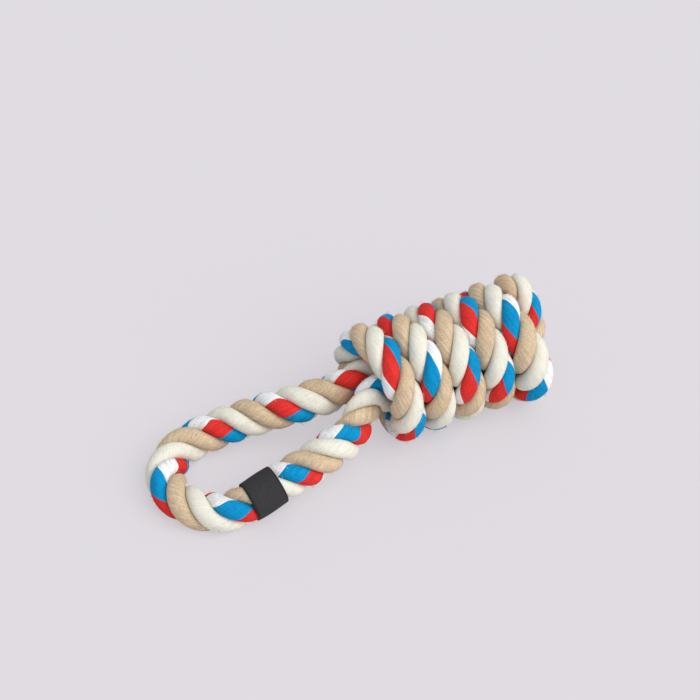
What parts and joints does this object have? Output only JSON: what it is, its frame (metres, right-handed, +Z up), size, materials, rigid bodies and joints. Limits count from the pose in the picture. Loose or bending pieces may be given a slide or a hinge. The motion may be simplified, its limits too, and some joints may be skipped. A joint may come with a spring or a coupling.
{
  "type": "rope dog toy",
  "caption": "Tug and throw toy for a dog: a thick laid cotton rope turned into a hand loop, both legs bound by a long coiled knot of the same rope, with a bare woven band on one leg.",
  "frame": {"origin": "on the surface that the toy lies on, under the middle of its overall box", "axes": "+X along the knot's axis, from the hand loop to the knot's far end; +Y away from the leg with the band; +Z up"},
  "size_m": [0.2346, 0.0768, 0.0666],
  "materials": {
    "beige_cotton": "soft twisted cotton",
    "cream_cotton": "soft twisted cotton",
    "tricolour_cotton": "soft twisted cotton in red, white and blue yarns",
    "whipping_thread": "waxed cotton thread",
    "label_weave": "black woven tape"
  },
  "bodies": {
    "knot": {"core_beige_strand": "beige_cotton", "core_cream_strand": "cream_cotton", "core_tricolour_strand": "tricolour_cotton", "front_neck_beige_strand": "beige_cotton", "front_neck_cream_strand": "cream_cotton", "front_neck_tricolour_strand": "tricolour_cotton", "back_neck_beige_strand": "beige_cotton", "back_neck_cream_strand": "cream_cotton", "back_neck_tricolour_strand": "tricolour_cotton", "knot_beige_strand": "beige_cotton", "knot_cream_strand": "cream_cotton", "knot_tricolour_strand": "tricolour_cotton", "core_whipping": "whipping_thread", "tail_whipping": "whipping_thread"},
    "loop": {"loop_beige_strand": "beige_cotton", "loop_cream_strand": "cream_cotton", "loop_tricolour_strand": "tricolour_cotton", "label_band": "label_weave", "label_seam_thread": "label_weave"}
  },
  "joints": [
    {"name": "loop_lift", "type": "hinge", "parent": "knot", "child": "loop", "pos_m": [-0.0186, -0.0034, 0.025], "axis": [0, 1, 0], "range_deg": [-30, 60], "stiffness_Nm_per_rad": 0.6, "deforming": ["front_neck_beige_strand", "front_neck_cream_strand", "front_neck_tricolour_strand", "back_neck_beige_strand", "back_neck_cream_strand", "back_neck_tricolour_strand"]}
  ]
}
